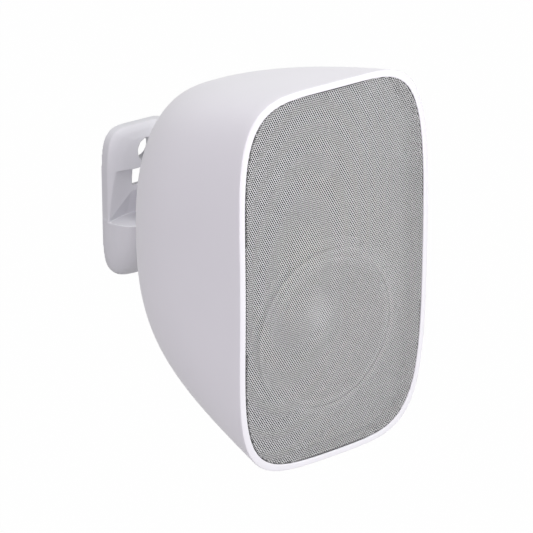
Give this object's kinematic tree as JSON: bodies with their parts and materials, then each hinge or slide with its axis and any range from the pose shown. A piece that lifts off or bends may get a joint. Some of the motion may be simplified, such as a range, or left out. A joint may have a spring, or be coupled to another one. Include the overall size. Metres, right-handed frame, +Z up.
{
  "type": "wall speaker",
  "caption": "White wall speaker with a bowed perforated grille and a rounded tapering cabinet, on a wall bracket that lets it pan and tilt.",
  "frame": {"origin": "centre of the bracket's flat back, on the wall", "axes": "+Y into the wall, so the grille faces -Y; +Z up; X to the right seen from the front"},
  "size_m": [0.165, 0.2325, 0.275],
  "materials": {
    "white_shell": "satin moulded white",
    "white_mount": "satin moulded white",
    "white_grille": "white powder coat on perforated sheet",
    "white_metal": "white powder coat",
    "black_moulding": "fine matt black",
    "black_metal": "semi-gloss black",
    "steel": "zinc plated",
    "ferrite": "bare ferrite, dark grey",
    "cone_grey": "pressed dark diaphragm",
    "black_rubber": "soft matt rubber",
    "spider_cloth": "impregnated woven cloth",
    "copper": "enamelled copper winding",
    "dome_cloth": "coated dome cloth",
    "board_green": "lacquered board",
    "capacitor_skin": "shrink sleeve",
    "terminal_brass": "plated brass",
    "nylon": "natural nylon"
  },
  "bodies": {
    "bracket": {"wall_bracket": "white_mount", "pan_washer": "nylon", "pan_bolt": "steel", "pan_nut": "steel"},
    "arm": {"swivel_arm": "white_metal"},
    "speaker": {"cabinet": "white_shell", "baffle": "black_moulding", "grille": "white_grille", "baffle_screws": "steel", "woofer_basket": "black_metal", "woofer_surround": "black_rubber", "woofer_gasket": "black_rubber", "woofer_spider": "spider_cloth", "woofer_top_plate": "steel", "woofer_magnet": "ferrite", "woofer_pole_plate": "steel", "woofer_screws": "steel", "tweeter_screws": "steel", "tweeter_faceplate": "black_moulding", "tweeter_motor": "black_metal", "tweeter_surround": "dome_cloth", "crossover_board": "board_green", "crossover_screws": "steel", "crossover_coils": "copper", "crossover_capacitors": "capacitor_skin", "terminal_block": "black_moulding", "terminal_screws": "terminal_brass", "mount_yoke": "white_metal", "yoke_screws": "steel", "tilt_washers": "nylon", "tilt_bolt": "steel", "tilt_nut": "steel"},
    "woofer_diaphragm": {"woofer_cone": "cone_grey", "woofer_dust_cap": "cone_grey", "woofer_coil": "copper"},
    "tweeter_diaphragm": {"tweeter_dome": "dome_cloth"}
  },
  "joints": [
    {"name": "pan", "type": "hinge", "parent": "bracket", "child": "arm", "pos_m": [0, -0.0205, 0], "axis": [0, 0, 1], "range_deg": [-35, 35]},
    {"name": "tilt", "type": "hinge", "parent": "arm", "child": "speaker", "pos_m": [0, -0.05, 0.0136], "axis": [1, 0, 0], "range_deg": [-15, 20]},
    {"name": "woofer_excursion", "type": "slide", "parent": "speaker", "child": "woofer_diaphragm", "axis": [0, -1, 0], "range_m": [-0.004, 0.004], "stiffness_N_per_m": 1200, "deforming": ["woofer_surround", "woofer_spider"]},
    {"name": "tweeter_excursion", "type": "slide", "parent": "speaker", "child": "tweeter_diaphragm", "axis": [0, -1, 0], "range_m": [-0.0003, 0.0003], "stiffness_N_per_m": 2000, "deforming": ["tweeter_surround"]}
  ]
}
